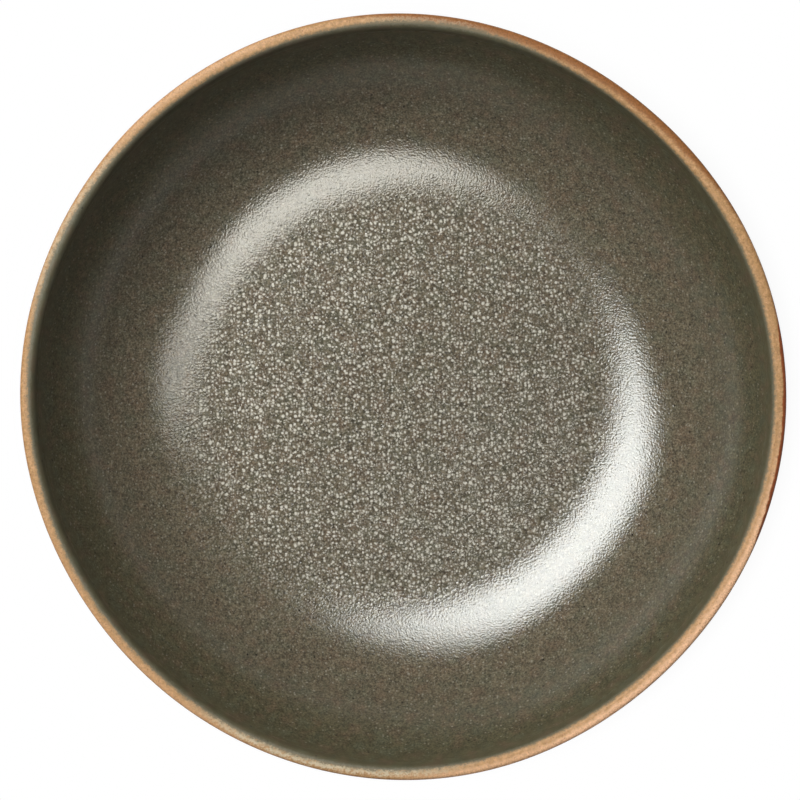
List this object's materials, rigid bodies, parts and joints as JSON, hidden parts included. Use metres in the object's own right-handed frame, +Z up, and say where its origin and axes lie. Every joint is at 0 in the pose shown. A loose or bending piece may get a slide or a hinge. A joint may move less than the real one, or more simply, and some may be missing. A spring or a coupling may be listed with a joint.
{
  "type": "pasta bowl",
  "caption": "Wide, shallow stoneware pasta bowl on a low foot ring, dark speckled glaze with a caramel band over the lip.",
  "frame": {"origin": "centre of the bowl on the surface it stands on, at the underside of the foot ring", "axes": "+Z up along the bowl's axis, towards the open mouth; X and Y are level and alike"},
  "size_m": [0.22, 0.22, 0.05],
  "materials": {
    "clay": "matte",
    "bare_foot": "matte",
    "speckled_glaze": "satin",
    "caramel_glaze": "satin",
    "dark_glaze": "satin"
  },
  "bodies": {
    "root": {"clay_body": "clay", "foot_ring": "bare_foot", "inside_glaze": "speckled_glaze", "rim_band": "caramel_glaze", "outside_glaze": "dark_glaze", "base_glaze": "dark_glaze"}
  },
  "joints": []
}
